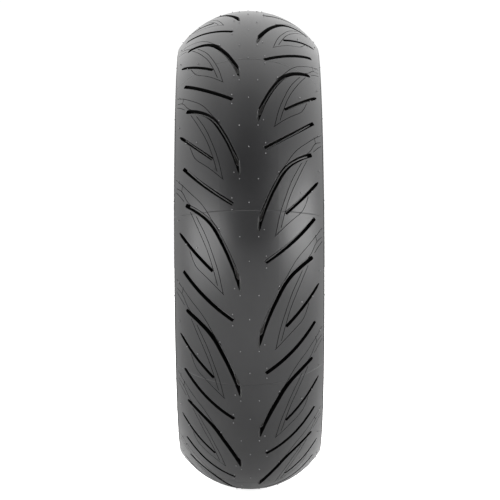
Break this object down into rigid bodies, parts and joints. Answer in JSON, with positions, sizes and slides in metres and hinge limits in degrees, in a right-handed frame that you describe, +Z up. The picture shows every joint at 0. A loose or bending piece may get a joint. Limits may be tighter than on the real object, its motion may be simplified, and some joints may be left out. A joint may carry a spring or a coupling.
{
  "type": "motorcycle tyre",
  "caption": "Rear road motorcycle tyre with a rounded crown, curved diagonal grooves, radial body plies, steel-cord belt and wire beads.",
  "frame": {"origin": "centre of the tyre, on its axis of rotation, midway between the beads", "axes": "Y along the axis of rotation, left side towards -Y and right side towards +Y; +Z up; X along the ground"},
  "size_m": [0.63, 0.182, 0.63],
  "materials": {
    "tread_rubber": "moulded, matt",
    "base_rubber": "matt",
    "skim_rubber": "calendered, matt",
    "brassed_steel_cord": "drawn wire, brass plated",
    "rubbered_cord_fabric": "cords coated with rubber",
    "liner_rubber": "smooth, satin",
    "bronzed_bead_wire": "drawn wire, bronze plated",
    "core_rubber": "matt",
    "flipper_fabric": "square-woven, rubber coated",
    "filler_rubber": "hard, satin",
    "chafer_rubber": "woven imprint, satin",
    "sidewall_rubber": "moulded, satin"
  },
  "bodies": {
    "root": {"tread_centre": "tread_rubber", "tread_shoulder_left": "tread_rubber", "tread_shoulder_right": "tread_rubber", "tread_base": "base_rubber", "belt_skim_outer": "skim_rubber", "belt_cord_winding": "brassed_steel_cord", "belt_skim_inner": "skim_rubber", "belt_edge_strip_left": "skim_rubber", "belt_edge_strip_right": "skim_rubber", "body_ply_outer": "rubbered_cord_fabric", "body_ply_inner": "rubbered_cord_fabric", "inner_liner": "liner_rubber", "bead_wire_left": "bronzed_bead_wire", "bead_wire_right": "bronzed_bead_wire", "bead_core_left": "core_rubber", "bead_core_right": "core_rubber", "bead_flipper_left": "flipper_fabric", "bead_flipper_right": "flipper_fabric", "bead_filler_left": "filler_rubber", "bead_filler_right": "filler_rubber", "toe_strip_left": "core_rubber", "toe_strip_right": "core_rubber", "chafer_left": "chafer_rubber", "chafer_right": "chafer_rubber", "sidewall_left": "sidewall_rubber", "sidewall_right": "sidewall_rubber"}
  },
  "joints": []
}
